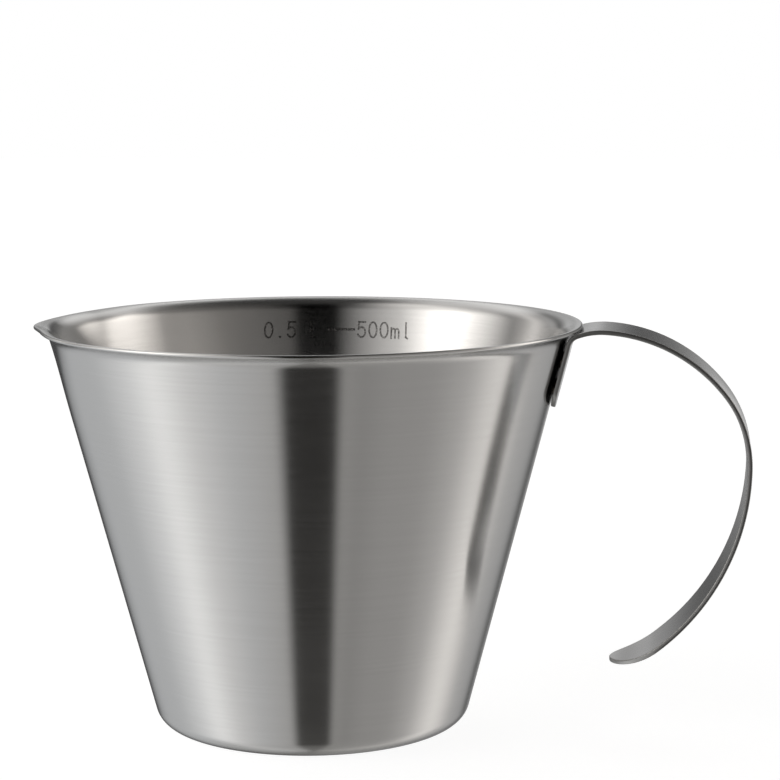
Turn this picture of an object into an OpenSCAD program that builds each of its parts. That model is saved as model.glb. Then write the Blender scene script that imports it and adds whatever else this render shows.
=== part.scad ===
// Measuring jug: a drawn conical cup with a pouring lip, a bent strap handle and the welds that join them.
// Lengths are in millimetres and angles in degrees.
// The cup stands on the XY plane about the Z axis, with the handle towards +X and the lip towards -X.

/* [Cup] */
// Height from the table to the top of the rim
cup_h = 89; // [80:0.5:100]
// Outer diameter at which the line of the wall meets the table
base_d = 68; // [60:0.5:76]
// Outer diameter that the line of the wall reaches at the height of the rim
mouth_d = 115; // [105:0.5:125]
// Thickness of the sheet
sheet_t = 0.8; // [0.6:0.1:1.2]
// Outer radius of the rounded corner around the base
corner_r = 5; // [3:0.5:8]
// Radius of the turned-out rim on its underside
rim_r = 3.2; // [2.4:0.1:4.5]
// Angle above level at which the turned-out rim ends
rim_rise = 5; // [0:1:30]

/* [Pouring lip] */
// How far the tip of the lip stands out past the round rim
lip_reach = 1.5; // [0.5:0.1:4]
// How far the tip of the lip lies below the rim
lip_drop = 0.5; // [0:0.1:2.5]
// Half the angle that the tongue of the lip takes of the rim
lip_angle = 21; // [10:1:28]
// How far the wall is drawn in on each side of the lip
flank_in = 0.9; // [0:0.1:1.5]
// Half the angle that the lip and both drawn-in flanks take of the rim
flank_angle = 42; // [30:1:60]
// Height of the wall under the rim that is formed into the lip
lip_h = 20; // [12:0.5:30]

/* [Handle] */
// Width of the strap
strap_w = 18; // [12:0.5:24]
// Thickness of the strap
strap_t = 1; // [0.8:0.1:2]
// Length of the straight leg on the wall
leg_len = 14.5; // [10:0.5:20]
// Inner radius of the bend under the rim
bend_r = 2.6; // [1.5:0.1:3]
// Clear distance between the strap and the edge of the rim above it
rim_gap = 0.15; // [0.1:0.05:1]
// Angle above level at which the strap leaves the bend
rise_angle = 22.5; // [0:0.5:35]
// Radius of the crown after the bend, to the middle of the strap
crown_r = 13.5; // [8:0.5:20]
// Angle that the crown turns through
crown_angle = 25.5; // [15:0.5:40]
// Radius of the grip, to the middle of the strap
grip_r = 35; // [28:0.5:42]
// Angle that the grip turns through
grip_angle = 49; // [42:0.5:56]
// Radius of the arm that turns down after the grip, to the middle of the strap
arm_r = 25; // [20:0.5:32]
// Angle that the arm turns through
arm_angle = 38.5; // [32:0.5:46]
// Radius of the tail after the arm, to the middle of the strap
tail_r = 51.5; // [40:0.5:64]
// Angle that the tail turns through
tail_angle = 51.5; // [44:0.5:58]
// Radius of the curl at the free end, to the middle of the strap
curl_r = 18.5; // [14:0.5:30]
// Angle that the curl turns through
curl_angle = 34; // [20:0.5:40]
// Length of the rounding of the free end
end_len = 13; // [6:0.5:16]
// Length of the rounding of the leg's lower end
leg_end_len = 4; // [2:0.5:10]

/* [Welds] */
// Diameter of each weld
weld_d = 4; // [3:0.5:6]
// Distance between the middles of the two welds
weld_pitch = 6; // [5:0.5:8]
// Thickness of the weld between the strap and the wall
weld_gap = 0.25; // [0.2:0.05:0.6]

/* [Hidden] */
$fn = 96;

// Counts of the straight steps that follow each curve
corner_steps = 8;
wall_steps = 7;
rim_steps = 8;
edge_steps = 4;
lip_steps = 14;
side_steps = 8;
bend_steps = 12;
crown_steps = 12;
grip_steps = 22;
arm_steps = 20;
tail_steps = 18;
curl_steps = 14;
seat_steps = 720;

// How far a cut runs past what it cuts
overrun = strap_w / 2;

// The line of the wall, on its outer face
wall_slope = (mouth_d - base_d) / 2 / cup_h;
wall_angle = atan(wall_slope);
function wall_r(z) = base_d / 2 + wall_slope * z;

// A direction in the half plane of radius and height
function toward(a) = [cos(a), sin(a)];

// Middle of the base corner's arc
corner_mid = [base_d / 2 + corner_r * (wall_slope - 1 / cos(wall_angle)), corner_r];

// Middle of the rim's arc, and the height at which the wall turns into it
rim_mid_z = cup_h - sheet_t / 2 - (rim_r + sheet_t / 2) * cos(rim_rise);
turn_z = rim_mid_z + rim_r * sin(wall_angle);
rim_mid = [wall_r(turn_z) + rim_r * cos(wall_angle), rim_mid_z];
rim_end = rim_mid + (rim_r + sheet_t / 2) * toward(90 + rim_rise);

// Height at which the forming of the lip starts
lip_z = cup_h - lip_h;

// One face of the sheet from the floor to the rim; depth is zero on the outer face
function skin(depth) = concat(
    [for (i = [0 : corner_steps])
        corner_mid + (corner_r - depth) * toward(-90 + (90 - wall_angle) * i / corner_steps)],
    [for (i = [0 : wall_steps - 1])
        let (z = lip_z + (turn_z - lip_z) * i / wall_steps)
        [wall_r(z), z] + depth * toward(180 - wall_angle)],
    [for (i = [0 : rim_steps])
        rim_mid + (rim_r + depth) * toward(180 - wall_angle - (90 - wall_angle - rim_rise) * i / rim_steps)]
);

// The rounded edge of the sheet at the rim
rim_edge = [for (i = [1 : edge_steps - 1])
    rim_end + sheet_t / 2 * toward(rim_rise - 90 + 180 * i / edge_steps)];

function reversed(list) = [for (i = [len(list) - 1 : -1 : 0]) list[i]];

// The sheet's section without its two points on the axis
face_count = len(skin(0));
section = concat(skin(0), rim_edge, reversed(skin(sheet_t)));
section_count = len(section);

// Shape of the lip: a tongue in the middle and a drawn-in flank on each side, both dying out down the wall
function tongue(a) = abs(a) < lip_angle ? pow(cos(90 * a / lip_angle), 2) : 0;
function flank(a) = abs(a) < flank_angle ? pow(sin(180 * a / flank_angle), 2) : 0;
function formed(p, a) =
    let (up = max(0, p[1] - lip_z) / lip_h)
    let (pull = pow(up, 2))
    p + [lip_reach * tongue(a) - flank_in * flank(a), -lip_drop * tongue(a)] * pull;

// Angles of the sections of the lip half, from the -X direction
turns = concat(
    [for (i = [0 : side_steps - 1]) -90 + (90 - flank_angle) * i / side_steps],
    [for (i = [-lip_steps : lip_steps]) flank_angle * i / lip_steps],
    [for (i = [1 : side_steps]) flank_angle + (90 - flank_angle) * i / side_steps]
);
turn_count = len(turns);

// Points of the lip half: the two points on the axis, then one section after the other
half_points = concat(
    [[0, 0, 0], [0, 0, sheet_t]],
    [for (a = turns)
        for (p = section)
            let (q = formed(p, a))
            [-q[0] * cos(a), q[0] * sin(a), q[1]]]
);

// Place of point j of section i in half_points
function at(i, j) = 2 + i * section_count + j;

// The cut face of section i: the floor, the wall and the rounded edge
function cut_face(i) = concat(
    [[0, 1, at(i, section_count - 1), at(i, 0)]],
    [for (j = [0 : face_count - 2])
        [at(i, j), at(i, section_count - 1 - j), at(i, section_count - 2 - j), at(i, j + 1)]],
    [[for (j = [face_count - 1 : face_count - 1 + edge_steps]) at(i, j)]]
);

half_faces = concat(
    [for (i = [0 : turn_count - 2]) [0, at(i, 0), at(i + 1, 0)]],
    [for (i = [0 : turn_count - 2]) [1, at(i + 1, section_count - 1), at(i, section_count - 1)]],
    [for (i = [0 : turn_count - 2])
        for (j = [0 : section_count - 2])
            each [[at(i, j), at(i, j + 1), at(i + 1, j + 1)], [at(i, j), at(i + 1, j + 1), at(i + 1, j)]]],
    cut_face(0),
    [for (f = cut_face(turn_count - 1)) reversed(f)]
);

// Middle of the bend: as high as the edge of the rim and the turn of the wall leave room for
bend_mid_r = bend_r + strap_t / 2;
leg_out = weld_gap + strap_t + bend_r;
leg_line_r = base_d / 2 + leg_out / cos(wall_angle);
crown_from = 90 + rise_angle;
under_rim = rim_end * toward(crown_from) - sheet_t / 2 - rim_gap - strap_t - bend_r;
under_rim_z = (under_rim + leg_line_r * sin(rise_angle)) / (cos(rise_angle) - wall_slope * sin(rise_angle));
bend_mid_z = min(under_rim_z, turn_z - leg_out * sin(wall_angle));
bend_mid = [leg_line_r + wall_slope * bend_mid_z, bend_mid_z];
leg_z = bend_mid_z + leg_out * sin(wall_angle);

// Middle line of the strap after the bend: five arcs that run into each other
crown_mid = bend_mid + (bend_mid_r - crown_r) * toward(crown_from);
grip_from = crown_from - crown_angle;
grip_mid = crown_mid + (crown_r - grip_r) * toward(grip_from);
arm_from = grip_from - grip_angle;
arm_mid = grip_mid + (grip_r - arm_r) * toward(arm_from);
tail_from = arm_from - arm_angle;
tail_mid = arm_mid + (arm_r - tail_r) * toward(tail_from);
curl_from = tail_from - tail_angle;
curl_mid = tail_mid + (tail_r - curl_r) * toward(curl_from);
curl_to = curl_from - curl_angle;

// Both ends of the middle line
leg_end = bend_mid + bend_mid_r * toward(180 - wall_angle) - leg_len * toward(90 - wall_angle);
free_end = curl_mid + curl_r * toward(curl_to);

// Points of an arc after its first one
function arc(mid, r, from, turn, steps) = [for (i = [1 : steps]) mid + r * toward(from - turn * i / steps)];

// One face of the strap, from the lower end of the leg to the free end
function strap_face(out) =
    let (leg_top = bend_mid + (bend_mid_r + out) * toward(180 - wall_angle))
    concat(
        [leg_top - leg_len * toward(90 - wall_angle), leg_top],
        arc(bend_mid, bend_mid_r + out, 180 - wall_angle, 180 - wall_angle - crown_from, bend_steps),
        arc(crown_mid, crown_r + out, crown_from, crown_angle, crown_steps),
        arc(grip_mid, grip_r + out, grip_from, grip_angle, grip_steps),
        arc(arm_mid, arm_r + out, arm_from, arm_angle, arm_steps),
        arc(tail_mid, tail_r + out, tail_from, tail_angle, tail_steps),
        arc(curl_mid, curl_r + out, curl_from, curl_angle, curl_steps)
    );

// Floor, wall, rim and lip, drawn from one sheet
module cup() {
    color("silver")
    union() {
        rotate_extrude(angle = 180, start = -90)
            polygon(concat([[0, 0]], section, [[0, sheet_t]]));
        polyhedron(points = half_points, faces = half_faces);
    }
}

// What is cut off an end of the strap, which points in a direction, to leave it round over a length
module end_cut(end, direction, round_len) {
    translate([end[0], 0, end[1]])
        rotate([0, -direction, 0])
            linear_extrude(height = 2 * overrun, center = true)
                difference() {
                    translate([-round_len, -strap_w / 2 - overrun])
                        square([round_len + overrun, strap_w + 2 * overrun]);
                    translate([-round_len, 0])
                        scale([2 * round_len / strap_w, 1])
                            circle(d = strap_w);
                }
}

// Bent strap: a leg on the wall, a bend under the rim, five arcs, and both ends round
module handle_strap() {
    color("lightgray")
    difference() {
        rotate([90, 0, 0])
            linear_extrude(height = strap_w, center = true)
                polygon(concat(strap_face(strap_t / 2), reversed(strap_face(-strap_t / 2))));
        end_cut(leg_end, -90 - wall_angle, leg_end_len);
        end_cut(free_end, curl_to - 90, end_len);
    }
}

// Welds in line up the leg, seated on the wall and on the inner face of the strap
module spot_welds() {
    color("dimgray")
    for (side = [-1, 1])
        let (z = leg_z - (leg_len + side * weld_pitch) / 2 * cos(wall_angle))
        difference() {
            translate([wall_r(z), 0, z])
                rotate([0, 90 + wall_angle, 0])
                    translate([0, 0, -overrun])
                        cylinder(h = overrun + weld_gap, d = weld_d);
            cylinder(h = cup_h, d1 = base_d, d2 = mouth_d, $fn = seat_steps);
        }
}

cup();
handle_strap();
spot_welds();
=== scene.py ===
from math import atan, cos, pi, radians, sin
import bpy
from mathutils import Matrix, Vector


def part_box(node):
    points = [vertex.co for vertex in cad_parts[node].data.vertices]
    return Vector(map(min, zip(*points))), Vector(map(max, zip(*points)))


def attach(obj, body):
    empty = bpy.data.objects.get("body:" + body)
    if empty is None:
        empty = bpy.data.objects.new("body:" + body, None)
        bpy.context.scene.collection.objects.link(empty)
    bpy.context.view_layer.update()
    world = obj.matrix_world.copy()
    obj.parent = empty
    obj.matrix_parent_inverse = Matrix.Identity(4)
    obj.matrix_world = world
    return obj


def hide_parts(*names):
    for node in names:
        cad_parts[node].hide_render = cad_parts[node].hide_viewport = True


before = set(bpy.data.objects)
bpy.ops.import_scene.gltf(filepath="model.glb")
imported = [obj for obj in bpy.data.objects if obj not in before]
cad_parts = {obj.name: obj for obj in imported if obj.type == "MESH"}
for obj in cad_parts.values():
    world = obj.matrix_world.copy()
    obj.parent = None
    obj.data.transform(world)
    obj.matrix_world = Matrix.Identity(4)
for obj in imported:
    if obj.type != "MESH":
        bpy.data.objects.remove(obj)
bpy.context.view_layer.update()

from types import SimpleNamespace

import bmesh
import bpy
import numpy as np
from bpy.props import FloatProperty, FloatVectorProperty, PointerProperty
from mathutils import Matrix, Vector

bl_info = {
    "name": "Measuring Jug",
    "version": (1, 0, 0),
    "blender": (4, 5, 0),
    "location": "View3D > Sidebar > Jug",
    "description": "Dresses a steel measuring jug: cup, strap handle, welds, measure marks and a studio",
    "category": "Add Mesh",
}

MM = 0.001
LITRE = 0.001
BODY = "root"
CUP_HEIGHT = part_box("cup")[1].z
STRAP_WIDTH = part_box("handle_strap")[1].y * 2
BRUSH_UV = "brush_uv"
BRUSH = "brush"
WELD_MARK = "weld_mark"
CUT_EDGE = "cut_edge"

# How finely the cup is divided: steps along its section, and steps around it from one bound to the next.
FLOOR_STEPS = 8
CORNER_STEPS = 14
WALL_STEPS = 12
LIP_STEPS = 40
RIM_STEPS = 14
EDGE_STEPS = 8
WELD_SIDE = radians(6)
TURN_STEPS = (32, 78, 96, 78)

# How finely the strap, the welds and the strokes of the marks are divided.
STATION_STEPS = (20, 12, 14, 28, 24, 40, 4)
TIP_STEPS = 30
QUARTER_STEPS = 5
ACROSS_STEPS = 44
WELD_TURNS = 48
WELD_LAYERS = 7
WELD_RINGS = 6
WELD_HEART = 0.15
TICK_POINTS = 5
LINE_POINTS = 9
ARC_POINTS = 33

# Shares of the forming: a dent's reach in welds, the leg's press in the bend, its fade and its near edge.
DENT_SPREAD = 1.3
BEND_PRESS = 0.5
HUG_FADE = 3
NEAR_HUG = 1 / 3

# Spaces beside the tick and more on its left, in pitches, and the shares of a stroke's top and of its sink.
TICK_GAP = 0.35
LEFT_GAP = 0.5
MARK_TOP = 0.85
MARK_SINK = 2
MARK_CREASE = radians(30)

# A number far past any weld, and the lengths that count as nothing.
FAR_OFF = 9
SAME_PLACE = 1e-7
NO_LENGTH = 1e-8

# The steel: the range that noise mostly keeps, the brushed lines, their relief and how uneven the gloss is.
NOISE_RANGE = (0.3, 0.7)
LINE_RUN = 22
LINE_ACROSS = 1800
LINE_ROUGHNESS = 0.6
RELIEF = 0.035
RELIEF_DEPTH = 0.02 * MM
SCRATCH_GLOSS = 0.02
CLOUD_GLOSS = 0.01
CUT_GLOSS = 0.2
QUARTER_TURN = 0.25

# Where a weld's tint and a cut edge's tone set in and are full, and the share of the tint.
TINT_FADE = (0.02, 0.6)
TINT_SHARE = 0.7
CUT_FADE = (0.1, 0.8)

# The marks' mottling: its scale and detail, where it sets in and is full, how pale it is, and the gloss.
MOTTLE_SCALE = 2600
MOTTLE_DETAIL = 3
MOTTLE_FADE = (0.45, 0.75)
MOTTLE_GAIN = 3
MOTTLE_LIFT = 0.02
MARK_GLOSS = (0.2, 0.3)


def length(name, description, millimetres):
    """A length property whose default is given in millimetres."""
    return FloatProperty(
        name=name, description=description, default=millimetres * MM,
        precision=5, subtype="DISTANCE", unit="LENGTH",
    )


def angle(name, description, degrees):
    """An angle property whose default is given in degrees."""
    return FloatProperty(
        name=name, description=description, default=radians(degrees), subtype="ANGLE", unit="ROTATION",
    )


def share(name, description, value):
    """A property between zero and one."""
    return FloatProperty(name=name, description=description, default=value, min=0, max=1, subtype="FACTOR")


def colour(name, description, value):
    """A colour property in linear red, green and blue."""
    return FloatVectorProperty(
        name=name, description=description, default=value, min=0, size=3, subtype="COLOR",
    )


class CupSizes(bpy.types.PropertyGroup):
    """Sizes of the drawn cup."""

    height: length("Height", "From the table to the top of the rim", CUP_HEIGHT / MM)
    base: length("Base", "Outer diameter at which the line of the wall meets the table", 68)
    mouth: length("Mouth", "Outer diameter that the line of the wall reaches at the rim", 115)
    sheet: length("Sheet", "Thickness of the sheet", 0.8)
    corner: length("Corner", "Outer radius of the corner around the base", 5)
    rim: length("Rim", "Radius of the turned-out rim on its underside", 3.2)
    rim_rise: angle("Rim rise", "Angle above level at which the rim ends", 5)
    lip_reach: length("Lip reach", "How far the tip of the lip stands out past the round rim", 1.5)
    lip_drop: length("Lip drop", "How far the tip of the lip lies below the rim", 0.5)
    lip_angle: angle("Lip angle", "Half the angle that the tongue of the lip takes of the rim", 21)
    flank_in: length("Flank", "How far the wall is drawn in on each side of the lip", 0.9)
    flank_angle: angle("Flank angle", "Half the angle that the lip and its flanks take of the rim", 42)
    lip_height: length("Lip height", "Height of the wall that is formed into the lip", 20)


class StrapSizes(bpy.types.PropertyGroup):
    """Sizes of the bent strap handle."""

    width: length("Width", "Width of the strap", STRAP_WIDTH / MM)
    thickness: length("Thickness", "Thickness of the strap", 1)
    edge: length("Edge", "Radius of the strap's rounded edges", 0.2)
    leg: length("Leg", "Length of the straight leg on the wall", 14.5)
    bend: length("Bend", "Inner radius of the bend under the rim", 2.6)
    rim_gap: length("Rim gap", "Clear distance between the strap and the edge of the rim", 0.15)
    rise: angle("Rise", "Angle above level at which the strap leaves the bend", 22.5)
    crown: length("Crown", "Radius of the crown after the bend", 13.5)
    crown_angle: angle("Crown angle", "Angle that the crown turns through", 25.5)
    grip: length("Grip", "Radius of the grip", 35)
    grip_angle: angle("Grip angle", "Angle that the grip turns through", 49)
    arm: length("Arm", "Radius of the arm that turns down after the grip", 25)
    arm_angle: angle("Arm angle", "Angle that the arm turns through", 38.5)
    tail: length("Tail", "Radius of the tail", 51.5)
    tail_angle: angle("Tail angle", "Angle that the tail turns through", 51.5)
    curl: length("Curl", "Radius of the curl at the free end", 18.5)
    curl_angle: angle("Curl angle", "Angle that the curl turns through", 34)
    end: length("End", "Length of the rounding of the free end", 13)
    leg_end: length("Leg end", "Length of the rounding of the leg's lower end", 4)
    hug: length("Hug", "How far the far edge of the leg is pressed towards the round wall", 0.4)
    bow: length("Bow", "How far the middle of the arm is bowed in from its edges", 0.3)


class WeldSizes(bpy.types.PropertyGroup):
    """Sizes of the two spot welds and of the dents that the electrodes leave."""

    diameter: length("Diameter", "Diameter of each weld", 4)
    pitch: length("Pitch", "Distance between the middles of the two welds", 6)
    gap: length("Gap", "Thickness of the weld between the strap and the wall", 0.25)
    waist: length("Waist", "How far the side of a weld is drawn in at half its thickness", 0.12)
    dent: length("Dent", "Depth of the dent over each weld", 0.16)


class MarkSizes(bpy.types.PropertyGroup):
    """Sizes of the measure marks on the inner wall."""

    digit_height: length("Digit height", "Height of the figures", 3.7)
    digit_width: length("Digit width", "Width of one figure", 1.9)
    pitch: length("Pitch", "Distance from one figure to the next", 2.8)
    stroke: length("Stroke", "Width of the strokes of the figures", 0.5)
    tick: length("Tick", "Length of the line at the measured level", 6.2)
    tick_stroke: length("Tick stroke", "Width of the line at the measured level", 0.66)
    lift: length("Lift", "How far the dark skin of a mark stands off the wall", 0.02)
    middle: angle("Middle", "Direction of the marks, seen from above and turned from the handle", 91)


class SteelFinish(bpy.types.PropertyGroup):
    """Colours and gloss of the steel and of the marks."""

    light: colour("Light steel", "Colour of the bright brushed lines", (0.625, 0.62, 0.61))
    dark: colour("Dark steel", "Colour of the dull brushed lines", (0.605, 0.60, 0.59))
    strap_light: colour("Light strap", "Colour of the strap's bright lines", (0.60, 0.595, 0.585))
    strap_dark: colour("Dark strap", "Colour of the strap's dull lines", (0.53, 0.525, 0.52))
    tint: colour("Weld tint", "Colour of the steel around a weld", (0.40, 0.33, 0.25))
    cut: colour("Cut edge", "Colour of the strap's dull cut edges", (0.40, 0.396, 0.387))
    mark: colour("Mark", "Colour of the dark measure marks", (0.14, 0.137, 0.133))
    roughness: share("Roughness", "Roughness of the brushed wall", 0.20)
    strap_roughness: share("Strap roughness", "Roughness of the brushed strap", 0.13)
    stretch: share("Stretch", "How far the wall's gloss is stretched across the brushing", 0.95)
    strap_stretch: share("Strap stretch", "How far the strap's gloss is stretched across the brushing", 0.8)
    weld_stretch: share("Weld stretch", "How far the welds' gloss is stretched across the brushing", 0.2)


class StudioPlan(bpy.types.PropertyGroup):
    """Where the camera stands and how the studio around the jug is lit."""

    camera_turn: angle("Camera turn", "How far the camera is turned from the side view towards the handle", 9)
    distance: length("Distance", "Level distance from the camera to the middle of the jug", 527)
    camera_height: length("Camera height", "Height of the camera over the table", 146.2)
    pitch: angle("Pitch", "How far the camera looks down", 7.81)
    pan: angle("Pan", "How far the camera looks to the right of the jug's middle", 1.91)
    roll: angle("Roll", "How far the camera leans", -0.26)
    lens: FloatProperty(name="Lens", description="Focal length", default=111.3, subtype="DISTANCE_CAMERA")
    table: colour("Table", "Tone of the table, which fades the lowest mirror images", (0.38, 0.375, 0.36))
    zenith: colour("Zenith", "Colour of the light from straight above", (0.05, 0.049, 0.048))
    floor: length("Floor", "Half the width of the floor", 3000)
    floor_glow: share("Floor glow", "Share of the floor's white that no shadow takes away", 0.88)
    floor_grey: share("Floor grey", "How much of the light that falls on the floor it gives back", 0.32)


def toward(a):
    """Unit vectors (cos a, sin a) in the half plane of radius and height."""
    return np.stack([np.cos(a), np.sin(a)], axis=-1)


def arc(middle, radius, start, end, steps):
    """Points middle + radius * (cos a, sin a), with a going evenly from start to end."""
    return middle + radius * toward(np.linspace(start, end, steps + 1))


def between(start, end, steps):
    """Points that go straight and evenly from start to end, without the end itself."""
    return start + (end - start) * np.linspace(0, 1, steps, endpoint=False)[:, None]


def swell(x):
    """One at zero, falling smoothly to nothing at one: (1 - x^2)^2."""
    return np.where(np.abs(x) < 1, (1 - x ** 2) ** 2, 0.0)


def cup_lines(cup):
    """The lines of the cup's section: the wall's slope and lean, and the middles of its two arcs."""
    lines = SimpleNamespace()
    lines.slope = (cup.mouth - cup.base) / 2 / cup.height
    lines.lean = atan(lines.slope)
    lines.wall_r = lambda z: cup.base / 2 + lines.slope * z
    corner_r = cup.base / 2 + cup.corner * (lines.slope - 1 / cos(lines.lean))
    lines.corner_mid = np.array([corner_r, cup.corner])
    rim_z = cup.height - cup.sheet / 2 - (cup.rim + cup.sheet / 2) * cos(cup.rim_rise)
    lines.turn_z = rim_z + cup.rim * sin(lines.lean)
    lines.rim_mid = np.array([lines.wall_r(lines.turn_z) + cup.rim * cos(lines.lean), rim_z])
    lines.rim_end = lines.rim_mid + (cup.rim + cup.sheet / 2) * toward(pi / 2 + cup.rim_rise)
    lines.lip_z = cup.height - cup.lip_height
    return lines


def cup_skin(cup, lines, depth):
    """One face of the sheet from the axis to the rim, at a depth under the outer face.

    The floor is level, the corner and the rim are arcs, and the wall is straight between them.
    """
    inward = depth * toward(pi - lines.lean)
    wall = [np.array([lines.wall_r(z), z]) + inward for z in (lines.lip_z, lines.turn_z)]
    corner = arc(lines.corner_mid, cup.corner - depth, -pi / 2, -lines.lean, CORNER_STEPS)
    rim = arc(lines.rim_mid, cup.rim + depth, pi - lines.lean, pi / 2 + cup.rim_rise, RIM_STEPS)
    floor = between(np.array([0, depth]), corner[0], FLOOR_STEPS)
    low_wall = between(corner[-1], wall[0], WALL_STEPS)
    lip_wall = between(wall[0], wall[1], LIP_STEPS)
    return np.concatenate([floor, corner[:-1], low_wall, lip_wall, rim])


def cup_section(cup, lines):
    """The closed section of the sheet, and which of its points lie on the inner face."""
    outer = cup_skin(cup, lines, 0)
    inner = cup_skin(cup, lines, cup.sheet)[::-1]
    edge = arc(lines.rim_end, cup.sheet / 2, cup.rim_rise - pi / 2, cup.rim_rise + pi / 2, EDGE_STEPS)[1:-1]
    inside = np.arange(len(outer) + len(edge) + len(inner)) >= len(outer) + len(edge)
    return np.concatenate([outer, edge, inner]), inside


def cup_turns(cup):
    """Directions of the sections around the axis, closer together at the handle and at the lip."""
    lip = pi - cup.flank_angle
    bounds = (-WELD_SIDE, WELD_SIDE, lip, 2 * pi - lip, 2 * pi - WELD_SIDE)
    stretches = zip(bounds, bounds[1:], TURN_STEPS)
    return np.concatenate([np.linspace(a, b, n, endpoint=False) for a, b, n in stretches])


def form_lip(cup, lines, r, z, turn):
    """Radius and height after the lip is formed.

    From the foot of the lip to the rim the pull grows as the square of the height. The tongue moves out and
    down by cos^2 of its own angle, and the flanks move in by sin^2, so both run smoothly into the round wall.
    """
    a = np.abs(np.remainder(turn, 2 * pi) - pi)
    pull = (np.clip(z - lines.lip_z, 0, None) / cup.lip_height) ** 2
    tongue = np.where(a < cup.lip_angle, np.cos(pi / 2 * a / cup.lip_angle) ** 2, 0)
    flank = np.where(a < cup.flank_angle, np.sin(pi * a / cup.flank_angle) ** 2, 0)
    return r + (cup.lip_reach * tongue - cup.flank_in * flank) * pull, z - cup.lip_drop * tongue * pull


def weld_heights(cup, strap, weld):
    """Heights on the wall of the middles of the two welds."""
    lines = cup_lines(cup)
    path = strap_path(cup, strap, weld)
    return [path.leg_z - (strap.leg + side * weld.pitch) / 2 * cos(lines.lean) for side in (-1, 1)]


def cup_surface(cup, strap, weld):
    """Points of the cup on a grid of section by direction, with their brushing and weld marks.

    A point is (r cos t, r sin t, z), with r and z from the section after the lip is formed. Over each weld
    the inner face is dented along the wall's normal by (1 - x^2)^2 of the distance to the weld's middle.
    """
    lines = cup_lines(cup)
    section, inside = cup_section(cup, lines)
    turn = cup_turns(cup)[None]
    r, z = (np.repeat(c[:, None], turn.size, axis=1) for c in section.T)
    mark = np.zeros_like(r)
    side = np.where(np.cos(turn) > 0, np.sin(turn), FAR_OFF) * r
    for height in weld_heights(cup, strap, weld):
        away = np.hypot(side, (z - height) / cos(lines.lean)) / (weld.diameter / 2)
        mark += np.where(inside[:, None], swell(away / DENT_SPREAD), 0)
    r, z = form_lip(cup, lines, r, z, turn)
    r = r + weld.dent * mark * cos(lines.lean)
    z = z - weld.dent * mark * sin(lines.lean)
    points = np.stack([r * np.cos(turn), r * np.sin(turn), z], axis=-1)
    along = np.concatenate([[0], np.cumsum(np.hypot(*np.diff(section, axis=0).T))])
    ring = np.broadcast_to(cup.base * np.stack([np.cos(turn), np.sin(turn)], axis=-1), r.shape + (2,))
    brush = np.concatenate([ring, np.repeat(along[:, None, None], turn.size, axis=1)], axis=2)
    return points, brush, mark, along


def ring_faces(rows, columns):
    """Four-sided faces of a grid that closes on itself in its second direction."""
    i = np.arange(rows - 1)[:, None] * columns
    j = np.arange(columns)[None]
    k = (j + 1) % columns
    return np.stack([i + j, i + k, i + k + columns, i + j + columns], axis=-1).reshape(-1, 4)


def closed_faces(rows, columns, first):
    """Faces of such a grid whose points are counted from a number, with one face over each of its ends."""
    last = first + (rows - 1) * columns
    ends = [list(range(n, n + columns)) for n in (first, last)]
    return (ring_faces(rows, columns) + first).tolist() + ends


def make_mesh(name, points, faces, uv, point_values=None, point_vectors=None):
    """A smooth mesh from points and faces, with a UV pair for each corner and named values on its points."""
    mesh = bpy.data.meshes.new(name)
    mesh.from_pydata(points.tolist(), [], faces)
    layer = mesh.uv_layers.new(name=BRUSH_UV)
    layer.uv.foreach_set("vector", np.ascontiguousarray(uv, dtype=np.float32).ravel())
    for kind, item, values in (("FLOAT", "value", point_values), ("FLOAT_VECTOR", "vector", point_vectors)):
        for key, data in (values or {}).items():
            made = mesh.attributes.new(key, kind, "POINT")
            made.data.foreach_set(item, np.ascontiguousarray(data, dtype=np.float32).ravel())
    mesh.shade_smooth()
    return mesh


def merge_doubles(mesh):
    """Joins the points of a mesh that lie on each other, and drops what shrinks to nothing."""
    work = bmesh.new()
    work.from_mesh(mesh)
    bmesh.ops.remove_doubles(work, verts=work.verts, dist=SAME_PLACE)
    bmesh.ops.dissolve_degenerate(work, dist=NO_LENGTH, edges=work.edges)
    bmesh.ops.recalc_face_normals(work, faces=work.faces)
    work.to_mesh(mesh)
    work.free()


def add_piece(name, mesh, material, replaced=None):
    """Puts a mesh into the scene as a piece of the jug."""
    mesh.materials.append(material)
    piece = bpy.data.objects.new(name, mesh)
    bpy.context.scene.collection.objects.link(piece)
    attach(piece, BODY)
    if replaced:
        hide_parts(replaced)


def strap_path(cup, strap, weld):
    """The strap's middle line: a straight leg along the wall, then six arcs that run into each other.

    The bend lies as high as the edge of the rim and the turn of the wall leave room for.
    """
    lines = cup_lines(cup)
    path = SimpleNamespace(lean=lines.lean)
    out = weld.gap + strap.thickness + strap.bend
    foot = cup.base / 2 + out / cos(lines.lean)
    first = pi / 2 + strap.rise
    room = lines.rim_end @ toward(first) - cup.sheet / 2 - strap.rim_gap - strap.thickness - strap.bend
    under_rim = (room + foot * sin(strap.rise)) / (cos(strap.rise) - lines.slope * sin(strap.rise))
    z = min(under_rim, lines.turn_z - out * sin(lines.lean))
    path.leg_z = z + out * sin(lines.lean)
    middle = np.array([foot + lines.slope * z, z])
    radius = strap.bend + strap.thickness / 2
    turn = pi - lines.lean
    path.leg_low = middle + radius * toward(turn) - strap.leg * toward(turn - pi / 2)
    path.arcs = [(strap.leg, middle, radius, turn)]
    reached = strap.leg + radius * (turn - first)
    turn = first
    for stretch in ("crown", "grip", "arm", "tail", "curl"):
        wide, sweep = getattr(strap, stretch), getattr(strap, stretch + "_angle")
        middle = middle + (radius - wide) * toward(turn)
        path.arcs.append((reached, middle, wide, turn))
        reached += wide * sweep
        radius = wide
        turn -= sweep
    path.length = reached
    return path


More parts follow.
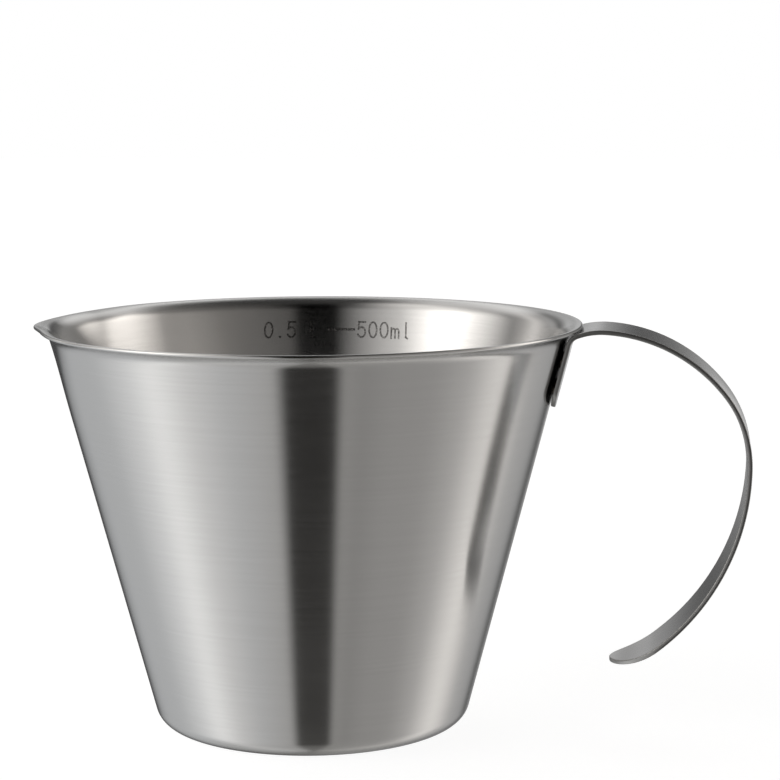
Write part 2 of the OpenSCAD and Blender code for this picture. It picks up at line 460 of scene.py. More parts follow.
def strap_line(path, s):
    """Point and normal of the middle line at the distance s from the foot of the leg.

    On an arc that starts at the distance s0 the point is middle + radius * toward(a), where the angle a falls
    by (s - s0) / radius; the normal is toward(a).
    """
    point = path.leg_low + s[..., None] * toward(pi / 2 - path.lean)
    normal = np.broadcast_to(toward(pi - path.lean), point.shape)
    for begin, middle, radius, start in path.arcs:
        turn = start - (s - begin) / radius
        here = (s >= begin)[..., None]
        point = np.where(here, middle + radius * toward(turn), point)
        normal = np.where(here, toward(turn), normal)
    return point, normal


def strap_rings(strap, path):
    """Stations along the strap: distance, angle along the round of an end and length of that end's round."""
    last = path.length - strap.end
    marks = [strap.leg_end, *(a[0] for a in path.arcs if a[0] < last), last]
    stretches = zip(marks, marks[1:], STATION_STEPS)
    run = np.concatenate([np.linspace(a, b, n, endpoint=False) for a, b, n in stretches])
    tip = np.linspace(0, pi / 2, TIP_STEPS)
    s = np.concatenate([np.full(tip.size - 1, marks[0]), run, np.full(tip.size, last)])
    psi = np.concatenate([-tip[:0:-1], np.zeros(run.size), tip])
    return s, psi, np.where(psi < 0, strap.leg_end, strap.end)


def strap_ring():
    """The strap's cross-section: each point's share of the half width, edge angle and side of the sheet."""
    quarter = np.linspace(0, pi / 2, QUARTER_STEPS)
    up = np.concatenate([-quarter[::-1], quarter])
    flat = np.sin(np.linspace(-pi / 2, pi / 2, ACROSS_STEPS))[1:-1]
    side = np.ones(up.size)
    sheet = np.repeat([-1.0, 1.0], quarter.size)
    share_y = np.concatenate([-side, flat, side, flat[::-1]])
    edge = np.concatenate([up, np.full(flat.size, pi / 2), up[::-1], np.full(flat.size, -pi / 2)])
    face = np.concatenate([sheet, np.ones(flat.size), -sheet, -np.ones(flat.size)])
    return share_y, edge, face


def strap_hollow(strap, path, s, y):
    """How far the sheet is bent along its normal, from the square of its place across.

    The leg's edges are pressed towards the wall, the near one a third as far as the far one, and half as
    much again in the bend, which fades along the crown. The arm's middle is bowed in, most in the middle of
    the arm and fading over its length to both sides.
    """
    across = (2 * y / strap.width) ** 2
    bend, crown, _, arm, tail, _ = (a[0] for a in path.arcs)
    press = 1 + BEND_PRESS * swell((s - (bend + crown) / 2) / (crown - bend))
    hug = strap.hug * press * swell(np.clip((s - bend) / (HUG_FADE * strap.bend), 0, 1))
    bow = strap.bow * swell((s - (arm + tail) / 2) / (tail - arm))
    return hug * across * np.where(y > 0, 1, NEAR_HUG) + bow * (across - 1)


def strap_surface(cup, strap, weld):
    """Points of the strap on a grid of station by cross-section, with brushing, weld marks and cut edges.

    The cross-section is a rectangle with rounded edges. Towards both ends its half width follows cos psi
    while the distance changes by sin psi, so each end is half an ellipse. Each weld leaves a dent in the
    leg's outer face. The cut edge's value is the cosine of the edge angle: one on the side and nothing on
    the faces.
    """
    path = strap_path(cup, strap, weld)
    start, psi, end = (v[:, None] for v in strap_rings(strap, path))
    share_y, edge, face = (v[None] for v in strap_ring())
    held = strap.edge * (1 - np.cos(edge))
    y = share_y * (strap.width / 2 - held) * np.cos(psi)
    s = start + (end - held) * np.sin(psi)
    n = face * (strap.thickness / 2 - strap.edge) + strap.edge * np.sin(edge)
    n = n + strap_hollow(strap, path, s, y)
    mark = np.zeros_like(y)
    for side in (-1, 1):
        away = np.hypot(y, s - (strap.leg + side * weld.pitch) / 2) / (weld.diameter / 2)
        mark += np.where((edge < 0) & (s < strap.leg), swell(away / DENT_SPREAD), 0)
    point, normal = strap_line(path, s)
    place = point + normal * (n + weld.dent * mark)[..., None]
    points = np.stack([place[..., 0], y, place[..., 1]], axis=-1)
    brush = np.stack([s, n, y], axis=-1)
    return points, brush, {WELD_MARK: mark, CUT_EDGE: np.broadcast_to(np.cos(edge), y.shape)}


def weld_surface(cup, weld, height):
    """Points of one weld on a grid of layer by direction, from its middle on the wall to that on the strap.

    The weld's face on the wall follows the wall's round, y^2 / 2R deep, its face on the strap is flat, and
    its side is drawn in by waist * sin of the height.
    """
    lines = cup_lines(cup)
    around = np.linspace(0, 2 * pi, WELD_TURNS, endpoint=False)[None]
    rise = np.linspace(0, 1, WELD_LAYERS)
    radius = weld.diameter / 2
    inner = np.linspace(WELD_HEART, 1, WELD_RINGS)[:-1] * radius
    r = np.concatenate([inner, radius - weld.waist * np.sin(pi * rise), inner[::-1]])[:, None]
    level = np.concatenate([np.zeros(inner.size), rise, np.ones(inner.size)])[:, None]
    y = r * np.sin(around)
    wall = lines.wall_r(height)
    depth = -(y ** 2) / 2 / wall * (1 - level) + weld.gap * level
    up = r * np.cos(around)
    x = wall + up * sin(lines.lean) + depth * cos(lines.lean)
    z = height + up * cos(lines.lean) - depth * sin(lines.lean)
    return np.stack([x, y, z], axis=-1)


def level_of(cup, litres):
    """Height inside the cup up to which it holds a number of litres.

    The space under the inner face is a stack of cone slices, each pi (R^2 + R r + r^2) / 3 times its height.
    """
    lines = cup_lines(cup)
    r, z = cup_skin(cup, lines, cup.sheet).T
    slices = pi * (r[1:] ** 2 + r[1:] * r[:-1] + r[:-1] ** 2) / 3 * np.diff(z)
    held = np.concatenate([[0], np.cumsum(slices)])
    return float(np.interp(litres * LITRE, held, z))


def line_stroke(x0, y0, x1, y1):
    """A straight stroke in shares of a figure's width and height."""
    return np.array([x0, y0]) + np.linspace(0, 1, LINE_POINTS)[:, None] * np.array([x1 - x0, y1 - y0])


def arc_stroke(x, y, rx, ry, start, end):
    """A stroke along an ellipse about (x, y), from the start to the end angle in degrees."""
    a = np.radians(np.linspace(start, end, ARC_POINTS))
    return np.stack([x + rx * np.cos(a), y + ry * np.sin(a)], axis=1)


FIGURES = {
    "0": [arc_stroke(0.5, 0.5, 0.5, 0.5, 90, 450)],
    "1": [line_stroke(0.5, 0, 0.5, 1), line_stroke(0.5, 1, 0.15, 0.76), line_stroke(0.15, 0, 0.85, 0)],
    "2": [
        arc_stroke(0.5, 0.72, 0.48, 0.28, 165, -30),
        line_stroke(0.92, 0.58, 0.02, 0), line_stroke(0.02, 0, 1, 0),
    ],
    "3": [arc_stroke(0.48, 0.76, 0.44, 0.24, 155, -90), arc_stroke(0.48, 0.26, 0.5, 0.26, 90, -155)],
    "4": [line_stroke(0.74, 0, 0.74, 1), line_stroke(0.74, 1, 0, 0.3), line_stroke(0, 0.3, 1, 0.3)],
    "5": [
        line_stroke(0.92, 1, 0.14, 1), line_stroke(0.14, 1, 0.08, 0.54),
        arc_stroke(0.47, 0.33, 0.5, 0.33, 140, -150),
    ],
    ".": [arc_stroke(0.5, 0.03, 0.05, 0.025, 90, 450)],
    "L": [line_stroke(0.1, 1, 0.1, 0), line_stroke(0.1, 0, 0.95, 0)],
    "m": [
        line_stroke(0, 0, 0, 0.64), arc_stroke(0.25, 0.42, 0.25, 0.2, 180, 0), line_stroke(0.5, 0, 0.5, 0.42),
        arc_stroke(0.75, 0.42, 0.25, 0.2, 180, 0), line_stroke(1, 0, 1, 0.42),
    ],
    "l": [line_stroke(0.5, 0.08, 0.5, 1), line_stroke(0.5, 0.08, 0.7, 0)],
    " ": [],
}


def mark_strokes(marks, litres):
    """Strokes of one level with their widths: its tick, then the litres to the left and the millilitres.

    A stroke is a row of places in metres across and up, counted from the middle of the tick.
    """
    tick = np.stack([np.linspace(-0.5, 0.5, TICK_POINTS), np.zeros(TICK_POINTS)], axis=1) * marks.tick
    strokes = [(tick, marks.tick_stroke)]
    left = "%.1f L" % litres
    right = "%dml" % round(litres * 1000)
    gap = marks.tick / 2 + marks.pitch * TICK_GAP
    starts = ((left, -gap - (len(left) - 1 + LEFT_GAP) * marks.pitch - marks.digit_width), (right, gap))
    size = np.array([marks.digit_width, marks.digit_height])
    for words, start in starts:
        for place, figure in enumerate(words):
            shift = np.array([start + place * marks.pitch, -marks.digit_height / 2])
            strokes += [(stroke * size + shift, marks.stroke) for stroke in FIGURES[figure]]
    return strokes


def mark_tube(cup, marks, stroke, width, level):
    """Points of one stroke as a flat tube on the inner wall, on a grid of station by corner.

    A place u across and v up the wall lies at the height level + v cos lean, in the direction middle - u / r.
    The tube's four corners lie half a stroke to each side, sunk into the wall below and lifted off it above.
    """
    lines = cup_lines(cup)
    ahead = np.gradient(stroke, axis=0)
    ahead /= np.linalg.norm(ahead, axis=1)[:, None]
    ends = np.zeros_like(stroke)
    if np.linalg.norm(stroke[0] - stroke[-1]) > width / 2:
        ends[0], ends[-1] = -ahead[0], ahead[-1]
    stroke = stroke + ends * width / 2
    sideways = np.stack([-ahead[:, 1], ahead[:, 0]], axis=1)
    half = width / 2 * np.array([-1, -MARK_TOP, MARK_TOP, 1])
    lift = marks.lift * np.array([-MARK_SINK, 1, 1, -MARK_SINK])
    place = stroke[:, None] + sideways[:, None] * half[None, :, None]
    z = level + place[..., 1] * cos(lines.lean)
    wall = lines.wall_r(z) - cup.sheet / cos(lines.lean)
    turn = marks.middle - place[..., 0] / wall
    r = wall - lift * cos(lines.lean)
    return np.stack([r * np.cos(turn), r * np.sin(turn), z + lift * sin(lines.lean)], axis=-1)


def brushed_lines():
    """Shader group: brushed lines, finer scratches and soft clouds from a brushing coordinate."""
    group = bpy.data.node_groups.get("Brushed lines")
    if group:
        return group
    group = bpy.data.node_groups.new("Brushed lines", "ShaderNodeTree")
    group.interface.new_socket("Brushing", in_out="INPUT", socket_type="NodeSocketVector")
    run = group.interface.new_socket("Run", in_out="INPUT", socket_type="NodeSocketFloat")
    run.default_value = LINE_RUN
    across = group.interface.new_socket("Across", in_out="INPUT", socket_type="NodeSocketFloat")
    across.default_value = LINE_ACROSS
    for name in ("Lines", "Scratches", "Clouds"):
        group.interface.new_socket(name, in_out="OUTPUT", socket_type="NodeSocketFloat")
    nodes, links = group.nodes, group.links
    inside = nodes.new("NodeGroupInput")
    outside = nodes.new("NodeGroupOutput")
    stretch = nodes.new("ShaderNodeCombineXYZ")
    for axis, name in (("X", "Run"), ("Y", "Run"), ("Z", "Across")):
        links.new(inside.outputs[name], stretch.inputs[axis])
    scaled = nodes.new("ShaderNodeVectorMath")
    scaled.operation = "MULTIPLY"
    links.new(inside.outputs["Brushing"], scaled.inputs[0])
    links.new(stretch.outputs["Vector"], scaled.inputs[1])
    for name, source, scale, detail in (
        ("Lines", scaled, 1.0, 4.0), ("Scratches", scaled, 3.1, 2.0), ("Clouds", inside, 28.0, 2.0)
    ):
        noise = nodes.new("ShaderNodeTexNoise")
        noise.inputs["Scale"].default_value = scale
        noise.inputs["Detail"].default_value = detail
        noise.inputs["Roughness"].default_value = LINE_ROUGHNESS
        links.new(source.outputs[0], noise.inputs["Vector"])
        links.new(noise.outputs["Fac"], outside.inputs[name])
    return group


def remap(tree, source, low, high, new_low, new_high):
    """A node that carries a value from one range to another."""
    node = tree.nodes.new("ShaderNodeMapRange")
    for name, value in (("From Min", low), ("From Max", high), ("To Min", new_low), ("To Max", new_high)):
        node.inputs[name].default_value = value
    tree.links.new(source, node.inputs["Value"])
    return node.outputs["Result"]


def blend_colours(tree, factor, first, second):
    """A node that goes from the first colour to the second; either may be a colour or a socket."""
    node = tree.nodes.new("ShaderNodeMix")
    node.data_type = "RGBA"
    tree.links.new(factor, node.inputs["Factor"])
    for name, value in (("A", first), ("B", second)):
        socket = next(s for s in node.inputs if s.name == name and s.type == "RGBA")
        if isinstance(value, bpy.types.NodeSocket):
            tree.links.new(value, socket)
        else:
            socket.default_value = (*value, 1)
    return next(s for s in node.outputs if s.type == "RGBA")


def empty_tree(owner):
    """The emptied node tree of a material or world."""
    owner.use_nodes = True
    owner.node_tree.nodes.clear()
    return owner.node_tree


def new_material(name):
    """A material whose tree holds only its shader and its output, joined."""
    material = bpy.data.materials.new(name)
    tree = empty_tree(material)
    shader = tree.nodes.new("ShaderNodeBsdfPrincipled")
    output = tree.nodes.new("ShaderNodeOutputMaterial")
    tree.links.new(shader.outputs["BSDF"], output.inputs["Surface"])
    return material, tree, shader


def brushed_steel(name, light, dark, finish, roughness, stretch):
    """Brushed stainless steel: gloss stretched across the brushing, uneven tone, tinted welds, dull edges."""
    material, tree, shader = new_material(name)
    links = tree.links
    place = tree.nodes.new("ShaderNodeAttribute")
    place.attribute_name = BRUSH
    lines = tree.nodes.new("ShaderNodeGroup")
    lines.node_tree = brushed_lines()
    links.new(place.outputs["Vector"], lines.inputs["Brushing"])
    tone = blend_colours(tree, remap(tree, lines.outputs["Lines"], *NOISE_RANGE, 0, 1), dark, light)
    weld = tree.nodes.new("ShaderNodeAttribute")
    weld.attribute_name = WELD_MARK
    tone = blend_colours(tree, remap(tree, weld.outputs["Fac"], *TINT_FADE, 0, TINT_SHARE), tone, finish.tint)
    cut = tree.nodes.new("ShaderNodeAttribute")
    cut.attribute_name = CUT_EDGE
    tone = blend_colours(tree, remap(tree, cut.outputs["Fac"], *CUT_FADE, 0, 1), tone, finish.cut)
    links.new(tone, shader.inputs["Base Color"])
    glossy, dull = roughness - SCRATCH_GLOSS, roughness + SCRATCH_GLOSS
    uneven = remap(tree, lines.outputs["Scratches"], *NOISE_RANGE, glossy, dull)
    clouds = (lines.outputs["Clouds"], -CLOUD_GLOSS, CLOUD_GLOSS)
    for source, low, high in (clouds, (cut.outputs["Fac"], 0, CUT_GLOSS)):
        total = tree.nodes.new("ShaderNodeMath")
        total.operation = "ADD"
        links.new(uneven, total.inputs[0])
        links.new(remap(tree, source, *NOISE_RANGE, low, high), total.inputs[1])
        uneven = total.outputs["Value"]
    links.new(uneven, shader.inputs["Roughness"])
    bump = tree.nodes.new("ShaderNodeBump")
    bump.inputs["Strength"].default_value = RELIEF
    bump.inputs["Distance"].default_value = RELIEF_DEPTH
    links.new(lines.outputs["Scratches"], bump.inputs["Height"])
    links.new(bump.outputs["Normal"], shader.inputs["Normal"])
    tangent = tree.nodes.new("ShaderNodeTangent")
    tangent.direction_type = "UV_MAP"
    tangent.uv_map = BRUSH_UV
    links.new(tangent.outputs["Tangent"], shader.inputs["Tangent"])
    shader.inputs["Metallic"].default_value = 1
    shader.inputs["Anisotropic"].default_value = stretch
    shader.inputs["Anisotropic Rotation"].default_value = QUARTER_TURN
    return material


def etched_mark(colour_of_mark):
    """Dark etched skin of the measure marks, mottled where the steel shines through."""
    material, tree, shader = new_material("etched_mark")
    place = tree.nodes.new("ShaderNodeTexCoord")
    noise = tree.nodes.new("ShaderNodeTexNoise")
    noise.inputs["Scale"].default_value = MOTTLE_SCALE
    noise.inputs["Detail"].default_value = MOTTLE_DETAIL
    tree.links.new(place.outputs["Object"], noise.inputs["Vector"])
    dark = tuple(colour_of_mark)
    pale = tuple(min(1, MOTTLE_GAIN * c + MOTTLE_LIFT) for c in dark)
    mottle = remap(tree, noise.outputs["Fac"], *MOTTLE_FADE, 0, 1)
    tree.links.new(blend_colours(tree, mottle, dark, pale), shader.inputs["Base Color"])
    uneven = remap(tree, noise.outputs["Fac"], *NOISE_RANGE, *MARK_GLOSS)
    tree.links.new(uneven, shader.inputs["Roughness"])
    shader.inputs["Metallic"].default_value = 1
    return material


class JUG_OT_cup(bpy.types.Operator):
    """Make the drawn cup with its rim and pouring lip"""

    bl_idname = "jug.cup"
    bl_label = "Cup"

    def execute(self, context):
        scene = context.scene
        finish = scene.jug_finish
        points, brush, mark, along = cup_surface(scene.jug_cup, scene.jug_strap, scene.jug_weld)
        rows, columns = mark.shape
        flat = points.reshape(-1, 3)
        quads = ring_faces(rows, columns)
        u = np.arange(columns) / columns
        u = np.stack([u, u + 1 / columns, u + 1 / columns, u], axis=1)
        v = np.stack([along[:-1], along[:-1], along[1:], along[1:]], axis=1)
        shape = (rows - 1, columns, 4)
        uv = np.stack([np.broadcast_to(u[None], shape), np.broadcast_to(v[:, None], shape)], axis=-1)
        mesh = make_mesh("cup", flat, quads.tolist(), uv, {WELD_MARK: mark}, {BRUSH: brush})
        merge_doubles(mesh)
        light, dark = finish.light, finish.dark
        steel = brushed_steel("cup_steel", light, dark, finish, finish.roughness, finish.stretch)
        add_piece("dressed_cup", mesh, steel, "cup")
        return {"FINISHED"}


class JUG_OT_strap(bpy.types.Operator):
    """Make the bent strap handle with its round free end"""

    bl_idname = "jug.strap"
    bl_label = "Strap handle"

    def execute(self, context):
        scene = context.scene
        finish = scene.jug_finish
        points, brush, values = strap_surface(scene.jug_cup, scene.jug_strap, scene.jug_weld)
        rows, columns, _ = points.shape
        flat = points.reshape(-1, 3)
        quads = ring_faces(rows, columns)
        uv = brush.reshape(-1, 3)[:, [0, 2]][quads.ravel()]
        mesh = make_mesh("strap", flat, quads.tolist(), uv, values, {BRUSH: brush})
        merge_doubles(mesh)
        light, dark = finish.strap_light, finish.strap_dark
        gloss, stretch = finish.strap_roughness, finish.strap_stretch
        steel = brushed_steel("strap_steel", light, dark, finish, gloss, stretch)
        add_piece("dressed_strap", mesh, steel, "handle_strap")
        return {"FINISHED"}


class JUG_OT_welds(bpy.types.Operator):
    """Make the two spot welds between the strap and the wall"""

    bl_idname = "jug.welds"
    bl_label = "Spot welds"

    def execute(self, context):
        scene = context.scene
        finish = scene.jug_finish
        welds = [
            weld_surface(scene.jug_cup, scene.jug_weld, z)
            for z in weld_heights(scene.jug_cup, scene.jug_strap, scene.jug_weld)
        ]
        rows, columns, _ = welds[0].shape
        faces = []
        for place in range(len(welds)):
            faces += closed_faces(rows, columns, place * rows * columns)
        flat = np.concatenate(welds).reshape(-1, 3)
        uv = np.concatenate([flat[face][:, 1:] for face in faces])
        mesh = make_mesh("welds", flat, faces, uv, {WELD_MARK: np.ones(len(flat))}, {BRUSH: flat})
        merge_doubles(mesh)
        light, dark = finish.light, finish.dark
        steel = brushed_steel("weld_steel", light, dark, finish, finish.roughness, finish.weld_stretch)
        add_piece("dressed_welds", mesh, steel, "spot_welds")
        return {"FINISHED"}


class JUG_OT_marks(bpy.types.Operator):
    """Make the measure marks on the inner wall"""

    bl_idname = "jug.marks"
    bl_label = "Measure marks"

    def execute(self, context):
        scene = context.scene
        cup, marks = scene.jug_cup, scene.jug_marks
        points, faces = [], []
        for tenths in range(1, 6):
            level = level_of(cup, tenths / 10)
            for stroke, width in mark_strokes(marks, tenths / 10):
                tube = mark_tube(cup, marks, stroke, width, level)
                rows, columns, _ = tube.shape
                faces += closed_faces(rows, columns, sum(len(p) for p in points))
                points.append(tube.reshape(-1, 3))
        flat = np.concatenate(points)
        uv = np.concatenate([flat[face][:, [0, 2]] for face in faces])
        mesh = make_mesh("marks", flat, faces, uv)
        merge_doubles(mesh)
        mesh.set_sharp_from_angle(angle=MARK_CREASE)
        add_piece("measure_marks", mesh, etched_mark(scene.jug_finish.mark))
        return {"FINISHED"}


# The studio, from low down to the ceiling. A panel is its name, degrees to the right, brightness and warmth.
LOW_STUDIO = (
    ("backdrop", -180, 0.15, 0.00),
    ("dark backdrop", -176, 0.10, 0.00),
    ("backdrop edge", -171, 0.12, 0.00),
    ("left flag", -163, 0.03, -0.02),
    ("left flag end", -153, 0.37, -0.02),
    ("left wall", -142, 0.56, -0.02),
    ("left wall front", -115, 0.64, -0.02),
    ("left box rise", -95, 0.90, -0.01),
    ("left box", -80, 1.20, 0.00),
    ("left box fall", -62, 0.83, 0.00),
    ("left screen", -42, 0.63, -0.01),
    ("left screen end", -18, 0.50, 0.01),
    ("gap", -12, 0.006, 0.14),
    ("gap end", 12, 0.006, 0.14),
    ("right screen", 16.5, 0.37, 0.02),
    ("right screen dip", 26, 0.31, 0.02),
    ("right screen middle", 40, 0.365, 0.02),
    ("right screen end", 62, 0.38, 0.02),
    ("right box rise", 82, 0.53, 0.02),
    ("right box", 104, 1.10, 0.03),
    ("right box end", 114, 0.90, 0.03),
    ("right wall", 124, 0.56, 0.01),
    ("right wall end", 144, 0.42, 0.00),
    ("right flag", 156, 0.06, 0.00),
    ("right flag end", 165, 0.36, 0.00),
    ("right backdrop", 169, 0.28, 0.00),
    ("right backdrop end", 173, 0.28, 0.00),
    ("backdrop again", 178, 0.17, 0.00),
)
LEVEL_STUDIO = (
    ("backdrop", -180, 0.20, 0.00),
    ("dark backdrop", -176, 0.06, 0.00),
    ("left flag", -160, 0.05, -0.02),
    ("left wall", -140, 0.50, -0.02),
    ("left box", -80, 1.30, 0.00),
    ("left screen", -42, 0.70, 0.00),
    ("left screen end", -18, 0.45, 0.01),
    ("gap", -12, 0.03, 0.12),
    ("gap end", 10, 0.03, 0.12),
    ("right screen", 17, 0.28, 0.02),
    ("right screen end", 74, 0.42, 0.03),
    ("right box", 102, 1.20, 0.04),
    ("right wall", 122, 0.45, 0.01),
    ("right reflector", 152, 0.37, 0.00),
    ("right reflector rise", 161, 0.52, 0.00),
    ("right reflector end", 170, 1.05, 0.00),
    ("right backdrop", 175, 0.46, 0.00),
    ("right backdrop end", 178, 0.24, 0.00),
)
HIGH_STUDIO = (
    ("backdrop", -180, 0.40, 0.00),
    ("backdrop edge", -177, 0.48, 0.00),
    ("backdrop end", -172, 0.55, 0.00),
    ("left flag", -160, 0.12, 0.01),
    ("left flag end", -150, 0.50, 0.01),
    ("left reflector rise", -143, 0.46, 0.02),
    ("left reflector", -131, 0.92, 0.03),
    ("left reflector end", -122, 0.47, 0.03),
    ("left gap", -112, 0.30, 0.02),
    ("left box", -88, 1.70, 0.03),
    ("left box middle", -78, 2.40, 0.03),
    ("left box end", -66, 2.40, 0.03),
    ("left screen", -46, 0.92, 0.02),
    ("left screen end", -26, 0.43, 0.02),
    ("gap", -13, 0.00, 0.06),
    ("gap end", 4.5, 0.00, 0.06),
    ("right screen", 10, 0.135, 0.04),
    ("right screen middle", 24, 0.175, 0.04),
    ("right screen end", 44, 0.25, 0.05),
    ("right panel", 62, 0.40, 0.05),
    ("right panel end", 75, 0.43, 0.05),
    ("right box", 98, 1.50, 0.05),
    ("right box end", 111, 1.90, 0.05),
    ("right wall", 121, 0.26, 0.03),
    ("right wall end", 138, 0.32, 0.02),
    ("right flag", 169, 0.07, 0.00),
    ("right backdrop", 175, 0.58, 0.00),
    ("backdrop again", 179, 0.42, 0.00),
)
OVERHEAD_STUDIO = (
    ("back", -180, 1.15, 0.00),
    ("back left", -140, 1.00, 0.01),
    ("left gap", -108, 0.50, 0.02),
    ("left box", -80, 1.25, 0.03),
    ("left box end", -58, 0.90, 0.03),
    ("left screen", -30, 0.20, 0.02),
    ("gap", -14, 0.00, 0.06),
    ("gap end", 4, 0.00, 0.06),
    ("right screen", 30, 0.12, 0.04),
    ("right screen end", 95, 0.25, 0.04),
    ("back right", 140, 0.85, 0.01),
    ("back again", 179, 1.15, 0.00),
)
CEILING_STUDIO = (
    ("back", -180, 0.12, 0.00),
    ("back left", -160, 0.30, 0.01),
    ("left lamp", -140, 0.90, 0.01),
    ("left gap", -108, 0.55, 0.02),
    ("left box", -80, 1.20, 0.03),
    ("left box end", -58, 0.85, 0.03),
    ("left screen", -32, 0.10, 0.02),
    ("gap", -14, 0.00, 0.06),
    ("gap end", 6, 0.00, 0.06),
    ("right screen", 30, 0.06, 0.04),
    ("right screen end", 95, 0.12, 0.04),
    ("back again", 179, 0.12, 0.00),
)

# Heights, as the sine of the angle over level, where the table fades and each studio gives way to the next.
TABLE_FADE = (-0.85, -0.72)
TABLE_SHARE = 0.5
STUDIO_FADES = ((-0.20, -0.13), (-0.05, 0.09), (0.45, 0.60), (0.68, 0.86), (0.88, 0.96))

# The nearest that the camera sees.
NEAREST = 10 * MM


def make_camera(plan):
    """A camera at the given distance, height and turn, looking down, a little to the right and leaning."""
    data = bpy.data.cameras.new("camera")
    data.lens = plan.lens
    data.clip_start = NEAREST
    camera = bpy.data.objects.new("camera", data)
    bpy.context.scene.collection.objects.link(camera)
    heading = plan.pan - plan.camera_turn
    ahead = Vector((sin(heading) * cos(plan.pitch), cos(heading) * cos(plan.pitch), -sin(plan.pitch)))
    right = Vector((cos(heading), -sin(heading), 0))
    up = right.cross(ahead)
    across = right * cos(plan.roll) + up * sin(plan.roll)
    upward = up * cos(plan.roll) - right * sin(plan.roll)
    place = Vector((sin(plan.camera_turn), -cos(plan.camera_turn), 0)) * plan.distance
    place.z = plan.camera_height
    camera.matrix_world = Matrix((
        (across.x, upward.x, -ahead.x, place.x),
        (across.y, upward.y, -ahead.y, place.y),
        (across.z, upward.z, -ahead.z, place.z),
        (0, 0, 0, 1),
    ))
    bpy.context.scene.camera = camera


def studio_ramp(tree, around, panels):
    """A colour ramp over the direction, with one stop for each panel of the studio."""
    ramp = tree.nodes.new("ShaderNodeValToRGB")
    tree.links.new(around, ramp.inputs["Fac"])
    stops = ramp.color_ramp.elements
    stops.remove(stops[1])
    for number, (_, direction, brightness, warmth) in enumerate(panels):
        stop = stops[0] if number == 0 else stops.new((direction + 180) / 360)
        stop.color = (brightness * (1 + warmth), brightness, brightness * (1 - warmth), 1)
    return ramp.outputs["Color"]


def end_tree(tree, kind, ray, others, chosen):
    """Ends a node tree in an output of a kind, with a shader for one sort of ray and one for all others."""
    path = tree.nodes.new("ShaderNodeLightPath")
    mix = tree.nodes.new("ShaderNodeMixShader")
    output = tree.nodes.new(kind)
    tree.links.new(path.outputs[ray], mix.inputs["Fac"])
    tree.links.new(others.outputs[0], mix.inputs[1])
    tree.links.new(chosen.outputs[0], mix.inputs[2])
    tree.links.new(mix.outputs["Shader"], output.inputs["Surface"])


def make_world(plan):
    """Light from all around: a ramp of panels over the direction at each height, white for the camera."""
    world = bpy.data.worlds.new("studio")
    bpy.context.scene.world = world
    tree = empty_tree(world)
    nodes, links = tree.nodes, tree.links
    place = nodes.new("ShaderNodeTexCoord")
    sides = []
    turn = plan.camera_turn
    for direction in ((cos(turn), sin(turn), 0), (sin(turn), -cos(turn), 0)):
        dot = nodes.new("ShaderNodeVectorMath")
        dot.operation = "DOT_PRODUCT"
        dot.inputs[1].default_value = direction
        links.new(place.outputs["Generated"], dot.inputs[0])
        sides.append(dot.outputs["Value"])
    around = nodes.new("ShaderNodeMath")
    around.operation = "ARCTAN2"
    for socket, source in zip(around.inputs, sides):
        links.new(source, socket)
    share_around = remap(tree, around.outputs["Value"], -pi, pi, 0, 1)
    studios = (LOW_STUDIO, LEVEL_STUDIO, HIGH_STUDIO, OVERHEAD_STUDIO, CEILING_STUDIO)
    low, level, high, overhead, ceiling = (studio_ramp(tree, share_around, s) for s in studios)
    height = nodes.new("ShaderNodeSeparateXYZ")
    links.new(place.outputs["Generated"], height.inputs["Vector"])
    table = remap(tree, height.outputs["Z"], *TABLE_FADE, TABLE_SHARE, 0)
    panels = blend_colours(tree, table, low, plan.table)
    for fade, above in zip(STUDIO_FADES, (level, high, overhead, ceiling, plan.zenith)):
        panels = blend_colours(tree, remap(tree, height.outputs["Z"], *fade, 0, 1), panels, above)
    studio = nodes.new("ShaderNodeBackground")
    links.new(panels, studio.inputs["Color"])
    white = nodes.new("ShaderNodeBackground")
    white.inputs["Color"].default_value = (1, 1, 1, 1)
    end_tree(tree, "ShaderNodeOutputWorld", "Is Camera Ray", studio, white)


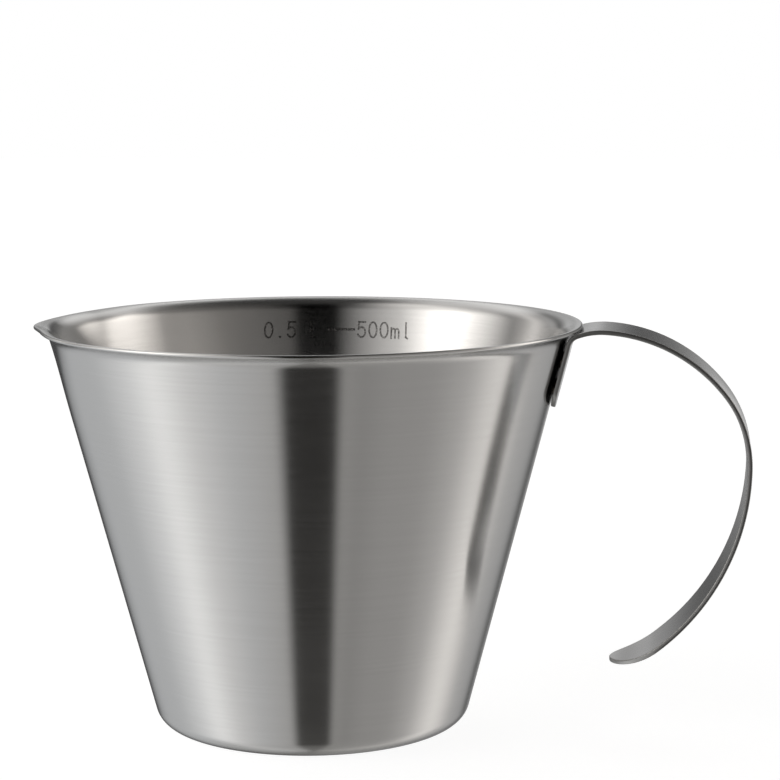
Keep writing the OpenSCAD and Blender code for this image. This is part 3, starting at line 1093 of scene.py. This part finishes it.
def make_floor(plan):
    """A pale level floor that keeps the jug's shadow; mirrored rays see the studio through it."""
    material = bpy.data.materials.new("floor")
    tree = empty_tree(material)
    nodes, links = tree.nodes, tree.links
    glow = nodes.new("ShaderNodeEmission")
    glow.inputs["Strength"].default_value = plan.floor_glow
    grey = nodes.new("ShaderNodeBsdfDiffuse")
    grey.inputs["Color"].default_value = (plan.floor_grey, plan.floor_grey, plan.floor_grey, 1)
    both = nodes.new("ShaderNodeAddShader")
    links.new(glow.outputs["Emission"], both.inputs[0])
    links.new(grey.outputs["BSDF"], both.inputs[1])
    clear = nodes.new("ShaderNodeBsdfTransparent")
    end_tree(tree, "ShaderNodeOutputMaterial", "Is Glossy Ray", both, clear)
    corners = np.array([[-1, -1, 0], [1, -1, 0], [1, 1, 0], [-1, 1, 0]]) * plan.floor
    mesh = bpy.data.meshes.new("floor")
    mesh.from_pydata(corners.tolist(), [], [[0, 1, 2, 3]])
    mesh.materials.append(material)
    floor = bpy.data.objects.new("floor", mesh)
    bpy.context.scene.collection.objects.link(floor)


class JUG_OT_stage(bpy.types.Operator):
    """Make the camera, the studio light and the floor"""

    bl_idname = "jug.stage"
    bl_label = "Stage"

    def execute(self, context):
        plan = context.scene.jug_studio
        make_camera(plan)
        make_world(plan)
        make_floor(plan)
        context.scene.view_settings.view_transform = "Standard"
        return {"FINISHED"}


class JUG_PT_sidebar(bpy.types.Panel):
    """Sizes and finishes of the jug, with a button for each piece"""

    bl_idname = "JUG_PT_sidebar"
    bl_label = "Measuring Jug"
    bl_space_type = "VIEW_3D"
    bl_region_type = "UI"
    bl_category = "Jug"

    def draw(self, context):
        for group in GROUPS:
            box = self.layout.box()
            values = getattr(context.scene, group)
            for name in values.__annotations__:
                box.prop(values, name)
        for operator in OPERATORS:
            self.layout.operator(operator.bl_idname)


GROUPS = {
    "jug_cup": CupSizes,
    "jug_strap": StrapSizes,
    "jug_weld": WeldSizes,
    "jug_marks": MarkSizes,
    "jug_finish": SteelFinish,
    "jug_studio": StudioPlan,
}
OPERATORS = (JUG_OT_cup, JUG_OT_strap, JUG_OT_welds, JUG_OT_marks, JUG_OT_stage)


def register():
    """Adds the classes to Blender, and the settings to its scenes."""
    for made in (*GROUPS.values(), *OPERATORS, JUG_PT_sidebar):
        bpy.utils.register_class(made)
    for name, group in GROUPS.items():
        setattr(bpy.types.Scene, name, PointerProperty(type=group))


def unregister():
    """Takes the settings and the classes away again."""
    for name in GROUPS:
        delattr(bpy.types.Scene, name)
    for made in (JUG_PT_sidebar, *reversed(OPERATORS), *reversed(GROUPS.values())):
        bpy.utils.unregister_class(made)


def main():
    """Makes every piece and the stage."""
    register()
    bpy.ops.jug.cup()
    bpy.ops.jug.strap()
    bpy.ops.jug.welds()
    bpy.ops.jug.marks()
    bpy.ops.jug.stage()


if __name__ == "__main__":
    main()
